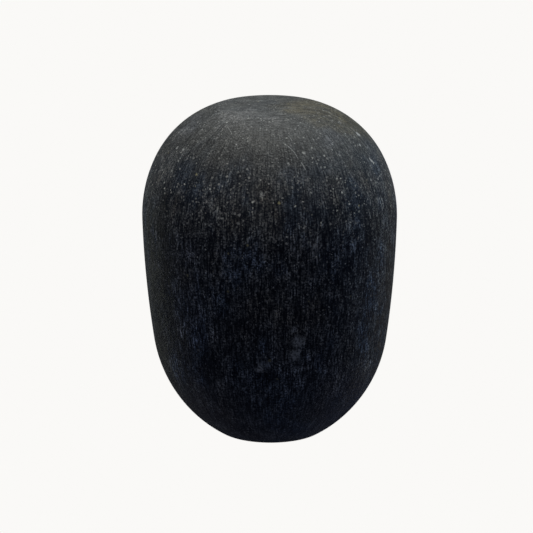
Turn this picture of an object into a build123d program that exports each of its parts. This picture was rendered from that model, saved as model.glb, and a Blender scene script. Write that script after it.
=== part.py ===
from build123d import *

import os
from math import radians, sin

# An upright basalt massage stone, ground from one piece of rock and honed by hand.
# It is round about its axis: a broad shoulder near the top fills the palm, the body draws in
# towards a rounded bowl, and both ends are ground flat. The small end is the foot that it
# stands on, and the large end is the pressing flat. There is no other piece in it.
#
# Millimetres and degrees. The axis is Z, and the origin is the middle of the foot.

# Driving dimension: the greatest width, across the shoulder.
stone_width = 62.0

# The wall, from the foot up, is a run of tangent arcs. Each one has a radius and the angle
# that the wall has turned to at its upper end: 0 is level and outward, 90 is upright, and
# 180 is level and inward.
foot_edge_radius = 1.0
foot_edge_angle = 31.5
bowl_radius = 32.9
bowl_angle = 81.9
side_radius = 253.0
side_angle = 88.7
shoulder_radius = 32.1
shoulder_angle = 115.6
crown_radius = 24.6
crown_angle = 161.1
top_edge_radius = 8.0
top_edge_angle = 180.0

upright_angle = 90.0
cubic_mm_in_cubic_cm = 1000

wall_arcs = [
    (foot_edge_radius, foot_edge_angle),
    (bowl_radius, bowl_angle),
    (side_radius, side_angle),
    (shoulder_radius, shoulder_angle),
    (crown_radius, crown_angle),
    (top_edge_radius, top_edge_angle),
]


def outward_reach(arcs):
    """How far the wall comes out, from the rim of the foot to where it stands upright."""
    reach = 0.0
    start = 0.0
    for radius, end in arcs:
        stop = min(end, upright_angle)
        reach += radius * (sin(radians(stop)) - sin(radians(start)))
        start = stop
    return reach


foot_radius = stone_width / 2 - outward_reach(wall_arcs)

with BuildPart() as basalt_stone:
    with BuildSketch(Plane.XZ):
        with BuildLine():
            run = Line((0, 0), (foot_radius, 0))
            turned = 0.0
            for radius, angle in wall_arcs:
                run = JernArc(start=run @ 1, tangent=run % 1, radius=radius, arc_size=angle - turned)
                turned = angle
            stone_height = (run @ 1).Y
            top_radius = (run @ 1).X
            Line(run @ 1, (0, stone_height))
            Line((0, stone_height), (0, 0))
        make_face()
    revolve(axis=Axis.Z)

basalt_stone.part.label = "basalt_stone"

os.makedirs("parts", exist_ok=True)
export_step(basalt_stone.part, "parts/basalt_stone.step")

print(f"width {stone_width:.2f}, height {stone_height:.2f}")
print(f"foot radius {foot_radius:.2f}, top flat radius {top_radius:.2f}")
print(f"volume {basalt_stone.part.volume / cubic_mm_in_cubic_cm:.1f} cubic centimetres")
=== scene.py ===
from math import cos, radians, sin

import bpy
import numpy as np
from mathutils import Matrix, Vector


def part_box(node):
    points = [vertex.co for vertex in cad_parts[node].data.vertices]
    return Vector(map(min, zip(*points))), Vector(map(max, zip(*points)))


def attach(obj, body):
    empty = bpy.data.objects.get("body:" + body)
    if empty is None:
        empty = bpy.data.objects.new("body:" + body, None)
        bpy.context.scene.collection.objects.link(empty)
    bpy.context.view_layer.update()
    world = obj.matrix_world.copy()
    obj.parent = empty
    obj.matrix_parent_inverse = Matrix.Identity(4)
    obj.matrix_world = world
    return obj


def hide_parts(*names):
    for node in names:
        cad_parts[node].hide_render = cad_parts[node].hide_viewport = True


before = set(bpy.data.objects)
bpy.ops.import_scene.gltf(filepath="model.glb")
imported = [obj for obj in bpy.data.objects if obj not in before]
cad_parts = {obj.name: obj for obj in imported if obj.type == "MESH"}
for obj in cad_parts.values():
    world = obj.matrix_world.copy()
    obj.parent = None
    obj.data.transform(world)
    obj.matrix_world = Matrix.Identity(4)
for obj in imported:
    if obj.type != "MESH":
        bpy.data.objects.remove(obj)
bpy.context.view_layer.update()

# ------------------------------------------------------------------------------------------------
# The stone
#
# One piece of basalt with nothing fixed to it. It was sawn from a block, ground round on a wheel
# and then honed by hand with fine grit, up and down, so that it is matt, faintly streaked along
# its length and a little uneven. Both ends are ground flat.
# ------------------------------------------------------------------------------------------------

MM = 0.001

foot_corner, top_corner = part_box("basalt_stone")
stone_height = top_corner.z - foot_corner.z
stone_radius = (top_corner.x - foot_corner.x) / 2
stone_middle = Vector((0, 0, stone_height / 2))

# The wall from the rim of the foot up: tangent arcs, each with its radius and the angle that the
# wall has turned to at its upper end. 0 is level and outward, 90 upright and 180 level and inward.
foot_edge = (1.0 * MM, 31.5)
bowl = (32.9 * MM, 81.9)
side = (253.0 * MM, 88.7)
shoulder = (32.1 * MM, 115.6)
crown = (24.6 * MM, 161.1)
top_edge = (8.0 * MM, 180.0)
wall_arcs = [foot_edge, bowl, side, shoulder, crown, top_edge]

upright = 90.0
row_spacing = 0.5 * MM
fewest_rows = 4
columns = 400


def reach_of(arcs):
    """How far the wall comes out from the rim of the foot, the sum of R (sin b - sin a) over the
    part of each arc, of radius R from angle a to b, that lies below where the wall is upright."""
    ends = np.radians([0.0] + [min(angle, upright) for radius, angle in arcs])
    return sum(radius * step for (radius, angle), step in zip(arcs, np.diff(np.sin(ends))))


def outline(arcs, foot_radius):
    """Half of the stone's outline, as rows of (distance from the axis, height), from the middle of
    the foot to the middle of the top. Each flat is evenly spaced rings. On an arc of radius R from
    angle a, the point at angle t lies R (sin t - sin a) further out and R (cos a - cos t) further
    up than the arc's lower end."""
    rings = round(foot_radius / row_spacing)
    rows = [np.column_stack([np.linspace(0.0, foot_radius, rings + 1)[1:], np.zeros(rings)])]
    start = 0.0
    for radius, end_degrees in arcs:
        end = radians(end_degrees)
        steps = max(fewest_rows, round(radius * (end - start) / row_spacing))
        angle = np.linspace(start, end, steps + 1)[1:]
        arc = np.column_stack([np.sin(angle) - sin(start), cos(start) - np.cos(angle)])
        rows.append(rows[-1][-1] + radius * arc)
        start = end
    top_radius, top_height = rows[-1][-1]
    rings = round(top_radius / row_spacing)
    inward = np.linspace(top_radius, 0.0, rings + 1)[1:-1]
    rows.append(np.column_stack([inward, np.full(rings - 1, top_height)]))
    return np.concatenate(rows)


def turned_surface(half):
    """The outline carried round the axis: the point at distance r, height z and turn p is
    (r cos p, r sin p, z). Also gives the outward direction at each point, which is the outline's
    own, a quarter turn from its run, carried round the same way."""
    turn = np.linspace(0.0, 2 * np.pi, columns, endpoint=False)
    run = np.gradient(half, axis=0)
    run /= np.linalg.norm(run, axis=1, keepdims=True)
    round_x, round_y = np.cos(turn), np.sin(turn)

    def carried(out, up):
        all_round = np.outer(up, np.ones_like(turn))
        return np.stack([np.outer(out, round_x), np.outer(out, round_y), all_round], axis=2)

    return carried(half[:, 0], half[:, 1]), carried(run[:, 1], -run[:, 0]), turn


foot_radius = stone_radius - reach_of(wall_arcs)
half_outline = outline(wall_arcs, foot_radius)
points, outward, turns = turned_surface(half_outline)

# Hand work leaves it a little untrue: shallow facets, a slow wander, a slight lean and small pits.
facet_depth = 0.025 * MM
wander_depth = 0.05 * MM
lean = 0.3 * MM
pit_count = 110
pit_widths = (0.9 * MM, 2.4 * MM)
pit_depths = (0.015 * MM, 0.06 * MM)

# Little chips, each a place and a width, where the skin is knocked off and pale stone shows.
chips = [
    ((21.2, -6.0, 75.7), 1.9),
    ((21.6, -10.0, 74.1), 1.2),
    ((7.9, -21.5, 75.0), 1.4),
    ((-22.1, -10.3, 73.4), 1.2),
    ((-20.6, -12.8, 73.5), 1.2),
    ((-7.9, -19.7, 76.5), 0.8),
    ((-15.8, -26.1, 42.2), 0.9),
    ((-10.6, -26.8, 25.8), 1.0),
    ((19.0, 18.0, 73.5), 1.3),
    ((-9.0, 27.5, 62.0), 1.0),
]
chip_depth = 0.08 * MM


def hollow_at(places, widths, depths, surface):
    """Round hollows: at distance d from a hollow's place the surface is lower by its depth times
    exp(-(2 d / width) squared)."""
    total = np.zeros(surface.shape[:2])
    for place, width, depth in zip(places, widths, depths):
        away = np.linalg.norm(surface - place, axis=2)
        total += depth * np.exp(-((2 * away / width) ** 2))
    return total


def unevenness(surface, turn):
    """How far hand work has left the surface above or below true: long shallow facets and a slow
    wander, both nothing on the flats. Each is two waves round the axis that drift with height."""
    height = surface[:, :, 2] / stone_height
    on_wall = 1 - (2 * height - 1) ** 8
    around = np.broadcast_to(turn, height.shape)

    def wave(count, drift):
        return np.cos(count * around + drift)

    facets = wave(9, 2.0 * np.sin(3.1 * height)) + wave(14, 1.3 - 3.5 * height)
    wander = wave(2, 1.1 + 2.5 * height) + wave(3, -4.0 * height)
    return on_wall * (facet_depth * facets + wander_depth * wander) / 2


hand_work_seed = 14
random = np.random.default_rng(hand_work_seed)
pit_rows = random.integers(0, len(half_outline), pit_count)
pit_turns = random.integers(0, columns, pit_count)
pits = hollow_at(
    points[pit_rows, pit_turns],
    random.uniform(*pit_widths, pit_count),
    random.uniform(*pit_depths, pit_count),
    points,
)
chipped = hollow_at(
    [np.array(place) * MM for place, width in chips],
    [width * MM for place, width in chips],
    [chip_depth] * len(chips),
    points,
)
raised = unevenness(points, turns) - pits - chipped
points = points + outward * raised[:, :, None]
points[:, :, 0] -= lean * (points[:, :, 2] / stone_height - 0.5)

# It is scaled sideways so that its widest point is as far out as the CAD solid's.
widest = np.abs(points[:, :, :2]).max()
points[:, :, :2] *= stone_radius / widest


def closed_mesh(name, grid):
    """A mesh of the grid's rows and columns, its last column joined to its first, and each end
    closed with a fan round one middle point."""
    rows = grid.shape[0]
    corner = np.arange(rows * columns).reshape(rows, columns)
    across = np.roll(corner, -1, axis=1)
    quads = np.stack([corner[:-1], across[:-1], across[1:], corner[1:]], axis=2).reshape(-1, 4)
    foot_middle = rows * columns
    top_middle = foot_middle + 1
    foot_fan = np.column_stack([across[0], corner[0], np.full(columns, foot_middle)])
    top_fan = np.column_stack([corner[-1], across[-1], np.full(columns, top_middle)])
    middles = np.stack([grid[0].mean(axis=0), grid[-1].mean(axis=0)])
    vertices = np.concatenate([grid.reshape(-1, 3), middles])
    mesh = bpy.data.meshes.new(name)
    mesh.from_pydata(vertices.tolist(), [], quads.tolist() + foot_fan.tolist() + top_fan.tolist())
    mesh.polygons.foreach_set("use_smooth", np.ones(len(mesh.polygons), dtype=bool))
    mesh.update()
    return mesh


stone = bpy.data.objects.new("honed_stone", closed_mesh("honed_stone", points))
bpy.context.scene.collection.objects.link(stone)

# Honed basalt: charcoal, bluer in some places and sootier in others, with a fine grain, streaks
# left by the grit, pale specks of feldspar, and near-white specks that are painted glints of
# crystal faces. Oil, paler patches and knocks show on its skin.
basalt = bpy.data.materials.new("honed_basalt")
basalt.use_nodes = True
tree = basalt.node_tree
tree.nodes.clear()

slate = (0.054, 0.056, 0.055, 1)
navy = (0.042, 0.051, 0.063, 1)
soot = (0.048, 0.046, 0.040, 1)
deep_blue = (0.0005, 0.005, 0.017)
feldspar = (0.50, 0.51, 0.50, 1)
olivine = (0.50, 0.46, 0.26, 1)
cleavage_painted_glint = (0.82, 0.84, 0.80, 1)
fresh_stone = (0.56, 0.58, 0.58, 1)
pale_grey = (0.090, 0.091, 0.091, 1)
pale_blue = (0.084, 0.090, 0.100, 1)
brown_oil = (0.064, 0.058, 0.040, 1)


def put(kind, *sources, **settings):
    """A node in the basalt. Each source is a number, a colour or another node's output, in the
    order of the node's inputs, and None leaves an input as it is."""
    node = tree.nodes.new(kind)
    for setting, value in settings.items():
        setattr(node, setting, value)
    for entry, source in zip([i for i in node.inputs if i.enabled], sources):
        if isinstance(source, bpy.types.NodeSocket):
            tree.links.new(source, entry)
        elif source is not None:
            entry.default_value = source
    return next(o for o in node.outputs if o.enabled)


def maths(operation, *sources):
    """A sum on numbers, such as ADD or MULTIPLY."""
    return put("ShaderNodeMath", *sources, operation=operation)


def vectors(operation, *sources):
    """A sum on places or colours, such as ADD or DISTANCE."""
    return put("ShaderNodeVectorMath", *sources, operation=operation)


def blended(share, first, second):
    """The first colour where share is 0 and the second where it is 1."""
    return put("ShaderNodeMix", share, first, second, data_type="RGBA")


def eased(value, low, high, low_result=0.0, high_result=1.0):
    """A smooth step, from low_result at or below low to high_result at or above high."""
    ends = (low, high, low_result, high_result)
    return put("ShaderNodeMapRange", value, *ends, interpolation_type="SMOOTHSTEP")


def cloud(where, lump, detail=2.0, roughness=0.5):
    """Noise between 0 and 1 with lumps of about that width."""
    return put("ShaderNodeTexNoise", where, 1 / lump, detail, roughness)


def stretched(where, stretch):
    """The place squeezed along each axis, so that a pattern read there is drawn out along it."""
    scale = tuple(1 / s for s in stretch)
    return put("ShaderNodeMapping", where, None, None, scale, vector_type="POINT")


def bent(where, lump, shift):
    """The place moved up to half the shift each way, in lumps of that width, so that shapes set
    there come out ragged: where + (noise - 0.5) times the shift, on each axis."""
    noise = put("ShaderNodeTexNoise", where, 1 / lump, 1.0).node.outputs["Color"]
    swing = vectors("SUBTRACT", noise, (0.5, 0.5, 0.5))
    return vectors("MULTIPLY_ADD", swing, (shift, shift, shift), where)


def product(*shares):
    """The shares multiplied together, so where all of them are."""
    together = shares[0]
    for share in shares[1:]:
        together = maths("MULTIPLY", together, share)
    return together


def strongest(*shares):
    """The greatest of the shares at each place, so where any of them is."""
    together = shares[0]
    for share in shares[1:]:
        together = maths("MAXIMUM", together, share)
    return together


def patches(where, marks, firm=0.0):
    """Round patches, each a centre and a width in millimetres: 1 within the firm share of the
    width, and easing to 0 at the rim."""
    return strongest(
        *[
            eased(
                vectors("DISTANCE", where, tuple(c * MM for c in centre)),
                firm * width * MM / 2,
                width * MM / 2,
                1.0,
                0.0,
            )
            for centre, width in marks
        ]
    )


place = put("ShaderNodeTexCoord").node.outputs["Object"]
parts_of_place = put("ShaderNodeSeparateXYZ", place).node.outputs
depth_from_axis = parts_of_place["Y"]
height_above_foot = parts_of_place["Z"]
drifting = bent(place, 6 * MM, 9 * MM)
ragged = bent(place, 0.5 * MM, 0.5 * MM)
chipped_edge = bent(place, 0.8 * MM, 0.6 * MM)

# The stone itself: slate-coloured, with blue and sooty places that are faint towards the top.
rubbed = eased(height_above_foot, 64 * MM, 80 * MM)
mottle = cloud(stretched(place, (1, 1, 2)), 7 * MM, 3.0)
navy_places = [
    ((1, -27, 17), 36),
    ((18, -25, 52), 28),
    ((11, -27, 62), 18),
    ((12, -22, 71), 14),
    ((-20, -22, 37), 22),
]
navy_strength = 0.8
navy_here = product(patches(drifting, navy_places), navy_strength)
navy_share = strongest(eased(mottle, 0.50, 0.66), navy_here)
soot_share = eased(mottle, 0.50, 0.36)
faintness = eased(rubbed, 0.0, 1.0, 1.0, 0.15)
colour = blended(product(soot_share, faintness), slate, soot)
colour = blended(product(navy_share, faintness), colour, navy)

# Its skin: brown oil on the right of the top, paler grey on the left of it, and pale blue patches.
oil_places = [((11, -2, 80), 26), ((19, -1, 77), 18)]
pale_grey_places = [((-7, -10, 81), 17), ((-1, -12.5, 81), 11)]
pale_blue_places = [((-19, -5, 77.5), 14), ((14, -14, 77), 12), ((-19, -24, 51), 12)]
pale_blue_strength = 0.7
smear = eased(cloud(stretched(place, (2.5, 1, 1)), 2 * MM, 3.0), 0.35, 0.65, 0.5, 1.0)
colour = blended(product(patches(drifting, oil_places, 0.4), smear), colour, brown_oil)
colour = blended(product(patches(drifting, pale_grey_places, 0.2), smear), colour, pale_grey)
pale_blue_share = product(patches(drifting, pale_blue_places), smear, pale_blue_strength)
colour = blended(pale_blue_share, colour, pale_blue)

# It is a mass of small crystals in a deep blue matrix. The grit's streaks run up and down the
# wall, which they follow in towards both flats, and from side to side on the flats themselves:
# their pattern on the wall is read on a cylinder of the stone's radius, squeezed along its axis.
on_flats = strongest(
    eased(height_above_foot, stone_height - 3 * MM, stone_height - 0.5 * MM),
    eased(height_above_foot, 0.1 * MM, 1.0 * MM, 1.0, 0.0),
)
grain = cloud(place, 0.42 * MM, 1.5, 0.6)
streak_stretch = 8
on_axis = vectors("MULTIPLY", place, (0, 0, 1 / streak_stretch))
outward_way = vectors("NORMALIZE", vectors("MULTIPLY", place, (1, 1, 0)))
cylinder = (stone_radius, stone_radius, stone_radius)
wall_streaks = cloud(vectors("MULTIPLY_ADD", outward_way, cylinder, on_axis), 0.36 * MM, 1.5, 0.6)
flat_streaks = cloud(stretched(place, (streak_stretch, 1, 1)), 0.5 * MM, 2.0, 0.6)
streaks = put("ShaderNodeMix", on_flats, wall_streaks, flat_streaks, data_type="FLOAT")
clumps = cloud(stretched(place, (1, 1, 2)), 1.5 * MM, 1.5)
drifts = cloud(stretched(place, (1, 1, 3)), 5 * MM, 1.0)

# Some places are darker or paler, each a centre and a width in millimetres. Most are the stone's
# own mottling, but the three dark places 6 mm up on the front are painted shade in the crease
# above the foot, and the pale places 17 to 20 mm up on both sides of the bowl are a painted
# sheen of light at the rims. The crown, the bowl and the back are rubbed smoother than the rest,
# so that the grain is fainter there.
dark_places_and_painted_shade = [
    ((14, -28, 56), 8), ((14, -28, 51), 9), ((18, -25, 48), 9), ((16, -26, 44), 8),
    ((14, -27, 39), 8), ((-7, -29, 61), 7), ((-7, -26, 70), 6), ((-15, -27, 44), 9),
    ((-13, -27, 35), 7), ((-14, -25, 24), 11), ((0, -31, 43), 5), ((9.5, -28, 29), 6),
    ((-25, -17, 64), 11), ((8, 29, 50), 9), ((-12, 28, 40), 10), ((-19, -23, 63), 8),
    # The last three on the next line, 6 mm up near the foot, are painted shade.
    ((-9, -29, 45), 6), ((-6, -19.5, 6), 8), ((-1, -21, 6), 8), ((4, -20.5, 6), 8),
    ((7, -28, 25), 5),
]
# Those 17 to 20 mm up on both sides of the bowl are a painted sheen at the rims.
pale_places_and_painted_sheen = [
    ((-1, -31, 51), 8), ((10, -29, 56), 5), ((5, -30, 49), 6), ((-2, -28, 67), 6),
    ((-14, -27, 56), 10), ((-19, -25, 52), 8), ((-20, -21, 29), 12), ((3, -30, 36), 7),
    ((-5, -30, 39), 8), ((12, -26, 66), 12), ((4, -26, 70), 9), ((-23, -15, 20), 11),
    ((23, -15, 20), 10), ((15, 27, 60), 9), ((-24, 19, 52), 9), ((-8, -29, 31), 7),
    ((16, -23, 17), 12), ((1, -27, 18), 9), ((-14, -28, 53), 8), ((-21, -5, 76), 9),
]
uneven_edge = bent(place, 2 * MM, 3 * MM)
tone = product(
    eased(grain, 0.32, 0.72, 0.25, 2.3),
    eased(streaks, 0.32, 0.72, 0.3, 2.2),
    eased(clumps, 0.30, 0.70, 0.60, 1.45),
    eased(drifts, 0.30, 0.70, 0.75, 1.30),
    eased(patches(uneven_edge, dark_places_and_painted_shade), 0.0, 1.0, 1.0, 0.55),
    eased(patches(uneven_edge, pale_places_and_painted_sheen), 0.0, 1.0, 1.0, 1.6),
)
crown_contrast = eased(height_above_foot, 55 * MM, 78 * MM, 1.42, 0.56)
bowl_contrast = eased(height_above_foot, 2 * MM, 24 * MM, 0.6, 1.0)
back_contrast = eased(depth_from_axis, -5 * MM, 20 * MM, 1.0, 0.6)
tone = maths("POWER", tone, product(crown_contrast, bowl_contrast, back_contrast))
matrix = vectors("MULTIPLY", deep_blue, faintness)
colour = vectors("MULTIPLY_ADD", colour, tone, matrix)


def specks(spacing, largest):
    """Cut crystals, and a random number for each. Space is divided into cells of about the
    spacing, each with one ball of crystal of its own size, the largest of that width. A ball is
    solid over its inner share and fades from there to its rim. Both sizes are in millimetres."""
    solid_share = 0.65
    cell = put("ShaderNodeTexVoronoi", ragged, 1 / (spacing * MM), feature="F1").node
    chance = put("ShaderNodeSeparateColor", cell.outputs["Color"]).node
    size = maths("MULTIPLY", chance.outputs["Red"], largest / spacing / 2)
    middle = maths("MULTIPLY", size, solid_share)
    ball = put("ShaderNodeMapRange", cell.outputs["Distance"], middle, size, 1.0, 0.0)
    return ball, chance.outputs["Blue"]


# Specks and painted glints are thickest 55 to 65 mm up, sparser low, on the crown and the back.
speck_share = product(
    eased(height_above_foot, 30 * MM, 55 * MM, 0.5, 1.0),
    eased(height_above_foot, 65 * MM, 76 * MM, 1.0, 0.32),
    eased(depth_from_axis, -5 * MM, 20 * MM, 1.0, 0.4),
)
fine_specks, fine_chance = specks(0.75, 0.7)
large_specks, large_chance = specks(2.4, 0.85)
# The third set is near white: a painted glint of crystal faces catching the light.
painted_glint_specks, sparkle_chance = specks(1.0, 0.58)
fine_specks = product(fine_specks, fine_chance, speck_share)
large_specks = product(large_specks, speck_share)
painted_glint_specks = product(painted_glint_specks, eased(sparkle_chance, 0.35, 0.75), speck_share)
colour = blended(fine_specks, colour, feldspar)
colour = blended(painted_glint_specks, colour, cleavage_painted_glint)
crystal = blended(eased(large_chance, 0.85, 0.88), feldspar, olivine)
colour = blended(large_specks, colour, crystal)

# Knocks: small chips, soft bruises and thin scratches, all of them paler than the skin. A bruise
# is a centre and a width. A scratch is its start, its end, the radius it bends with, its width
# and its strength.
bruises = [
    ((6.7, -29.0, 30.8), 4.2),
    ((6.0, -28.6, 27.2), 3.8),
    ((6.0, -29.2, 34.0), 2.5),
    ((-2.5, -28.5, 24.0), 3.0),
    ((-2.0, -28.4, 66.7), 1.8),
    ((10.9, -29.0, 54.6), 1.5),
    ((-1.3, -30.9, 52.3), 1.0),
    ((4.3, -24.3, 73.0), 1.0),
    ((-20, 21, 45), 4.0),
]
scratches = [
    ((3.4, -20.0, 77.2), (7.0, -22.9, 73.9), 9, 0.22, 0.45),
    ((4.4, -18.2, 78.3), (5.3, -19.5, 77.3), 9, 0.2, 0.3),
    ((-10.3, -12.8, 79.5), (-8.8, -16.8, 78.2), 30, 0.2, 0.3),
    ((23.7, -10.9, 71.2), (24.5, -10.8, 70.1), 30, 0.5, 1.0),
    ((24.2, -10.4, 70.6), (25.0, -10.7, 69.5), 30, 0.5, 1.0),
    ((7.3, -23.4, 73.2), (8.4, -24.4, 71.6), 20, 0.35, 0.5),
    ((9.1, -17.2, 5.2), (11.2, -19.5, 8.7), 60, 0.5, 0.25),
    ((-27.5, 6.0, 66.0), (-29.5, 5.0, 60.0), 25, 0.2, 0.4),
    ((6.0, 27.5, 68.0), (11.0, 27.0, 63.0), 20, 0.2, 0.5),
    ((25.0, 15.0, 66.0), (27.0, 14.5, 58.0), 40, 0.2, 0.35),
]


def scratch(start, end, bend, width, strength):
    """A thin line from start to end: where the surface cuts a thin round shell, of the bend's
    radius, within half the line's length of its middle. All but the strength in millimetres."""
    start, end = Vector(start) * MM, Vector(end) * MM
    middle = (start + end) / 2
    ball = middle + bend * MM * (end - start).cross(middle - stone_middle).normalized()
    from_ball = vectors("DISTANCE", place, tuple(ball))
    off_line = maths("ABSOLUTE", maths("SUBTRACT", from_ball, bend * MM))
    along = vectors("DISTANCE", place, tuple(middle))
    length = (end - start).length
    line = eased(off_line, 0.2 * width * MM, 0.6 * width * MM, strength, 0.0)
    return product(line, eased(along, 0.4 * length, 0.55 * length, 1.0, 0.0))


bruise_edge = bent(place, 1.5 * MM, 2 * MM)
crumbled = eased(grain, 0.34, 0.58, 0.2, 1.0)
bruised = product(patches(bruise_edge, bruises, 0.3), crumbled)
scratched = strongest(*[scratch(*line) for line in scratches])
chip_strength = 0.6
chip_marks = product(patches(chipped_edge, chips, 0.3), chip_strength)
colour = blended(strongest(bruised, scratched, chip_marks), colour, fresh_stone)

faint_sheen = 0.25
surface = tree.nodes.new("ShaderNodeBsdfPrincipled")
tree.links.new(colour, surface.inputs["Base Color"])
surface.inputs["Specular IOR Level"].default_value = faint_sheen

# It is matt, its paler clumps most of all. Its grain and streaks stand up a few hundredths of a
# millimetre, and the scratches are cut into it.
relief_depth = 0.15 * MM
streak_relief = 0.7
scratch_relief = 0.5
dulled = eased(clumps, 0.3, 0.7, 0.58, 0.72)
tree.links.new(dulled, surface.inputs["Roughness"])
relief = maths("MULTIPLY_ADD", streaks, streak_relief, grain)
relief = maths("SUBTRACT", relief, product(scratched, scratch_relief))
bump = put("ShaderNodeBump").node
bump.inputs["Distance"].default_value = relief_depth
tree.links.new(relief, bump.inputs["Height"])
tree.links.new(bump.outputs[0], surface.inputs["Normal"])
output = tree.nodes.new("ShaderNodeOutputMaterial")
tree.links.new(surface.outputs[0], output.inputs["Surface"])

stone.data.materials.append(basalt)
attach(stone, "root")
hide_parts("basalt_stone")

# ------------------------------------------------------------------------------------------------
# The studio
#
# A pale floor that runs out of sight, large soft lights above and behind the stone with weak ones
# low down, and a camera on a long lens. The floor and the pale surroundings throw no light on the
# stone, so that its lower half stays dark, and the floor is clear when seen from underneath.
# ------------------------------------------------------------------------------------------------

pale = (0.956, 0.947, 0.930, 1)
dim_blue = (0.032, 0.036, 0.051, 1)
floor_half_width = 4.0
floor_gap = 0.02 * MM

floor_mesh = bpy.data.meshes.new("floor")
corners = floor_half_width * np.array([(-1, -1, 0), (1, -1, 0), (1, 1, 0), (-1, 1, 0)])
corners[:, 2] = -floor_gap
floor_mesh.from_pydata(corners.tolist(), [], [(0, 1, 2, 3)])
floor = bpy.data.objects.new("floor", floor_mesh)
bpy.context.scene.collection.objects.link(floor)
floor_paint = bpy.data.materials.new("floor_paint")
floor_paint.use_nodes = True
floor_tree = floor_paint.node_tree
floor_tree.nodes.clear()
glow = floor_tree.nodes.new("ShaderNodeEmission")
glow.inputs["Color"].default_value = pale
clear = floor_tree.nodes.new("ShaderNodeBsdfTransparent")
underneath = floor_tree.nodes.new("ShaderNodeNewGeometry").outputs["Backfacing"]
either = floor_tree.nodes.new("ShaderNodeMixShader")
floor_output = floor_tree.nodes.new("ShaderNodeOutputMaterial")
floor_tree.links.new(underneath, either.inputs[0])
floor_tree.links.new(glow.outputs[0], either.inputs[1])
floor_tree.links.new(clear.outputs[0], either.inputs[2])
floor_tree.links.new(either.outputs[0], floor_output.inputs["Surface"])
floor_mesh.materials.append(floor_paint)
floor.visible_diffuse = False
floor.visible_glossy = False
floor.visible_shadow = False

world = bpy.data.worlds.new("studio")
bpy.context.scene.world = world
world.use_nodes = True
world_tree = world.node_tree
surroundings = world_tree.nodes["Background"]
surroundings.inputs["Color"].default_value = dim_blue
backdrop = world_tree.nodes.new("ShaderNodeBackground")
backdrop.inputs["Color"].default_value = pale
seen = world_tree.nodes.new("ShaderNodeLightPath").outputs["Is Camera Ray"]
chosen = world_tree.nodes.new("ShaderNodeMixShader")
world_tree.links.new(seen, chosen.inputs[0])
world_tree.links.new(surroundings.outputs[0], chosen.inputs[1])
world_tree.links.new(backdrop.outputs[0], chosen.inputs[2])
world_tree.links.new(chosen.outputs[0], world_tree.nodes["World Output"].inputs["Surface"])

light_distance = 1.0
light_width = 0.5


def soft_light(name, azimuth, elevation, watts, tint=(1, 1, 1)):
    """A round soft light that faces the stone. Azimuth 0 is the camera's side and 90 the right."""
    lamp = bpy.data.lights.new(name, "AREA")
    lamp.shape = "DISK"
    lamp.size = light_width
    lamp.energy = watts
    lamp.color = tint
    light = bpy.data.objects.new(name, lamp)
    around, up = radians(azimuth), radians(elevation)
    outward = Vector((sin(around) * cos(up), -cos(around) * cos(up), sin(up)))
    light.location = stone_middle + light_distance * outward
    light.rotation_euler = outward.to_track_quat("Z", "Y").to_euler()
    bpy.context.scene.collection.objects.link(light)


soft_light("overhead_light", 0, 90, 5.1, (1.0, 0.96, 0.88))
soft_light("back_light", 180, 65, 4.7, (0.97, 1.0, 0.98))
soft_light("right_light", 120, 40, 2.0, (0.64, 0.84, 1.0))
soft_light("right_low_light", 135, -15, 0.3, (1.0, 0.88, 0.60))
soft_light("left_low_light", 225, -15, 0.5, (0.94, 1.0, 0.82))
soft_light("right_under_light", 120, -45, 0.33, (0.58, 0.64, 1.0))
soft_light("left_under_light", 240, -45, 0.16, (0.9, 0.8, 1.0))

camera_elevation = radians(16)
camera_distance = 0.8
camera_offset = (-0.83 * MM, 0.42 * MM)
lens_length = 221.5
film_width = 36

camera_data = bpy.data.cameras.new("camera")
camera_data.lens = lens_length
camera_data.sensor_width = film_width
camera_data.clip_start = 0.05
camera_data.clip_end = 50
camera = bpy.data.objects.new("camera", camera_data)
backward = Vector((0, -cos(camera_elevation), sin(camera_elevation)))
rightward = Vector((1, 0, 0))
upward = Vector((0, sin(camera_elevation), cos(camera_elevation)))
camera.location = (
    stone_middle
    + camera_distance * backward
    + camera_offset[0] * rightward
    + camera_offset[1] * upward
)
camera.rotation_euler = (-backward).to_track_quat("-Z", "Y").to_euler()
bpy.context.scene.collection.objects.link(camera)
bpy.context.scene.camera = camera
bpy.context.scene.view_settings.view_transform = "Standard"
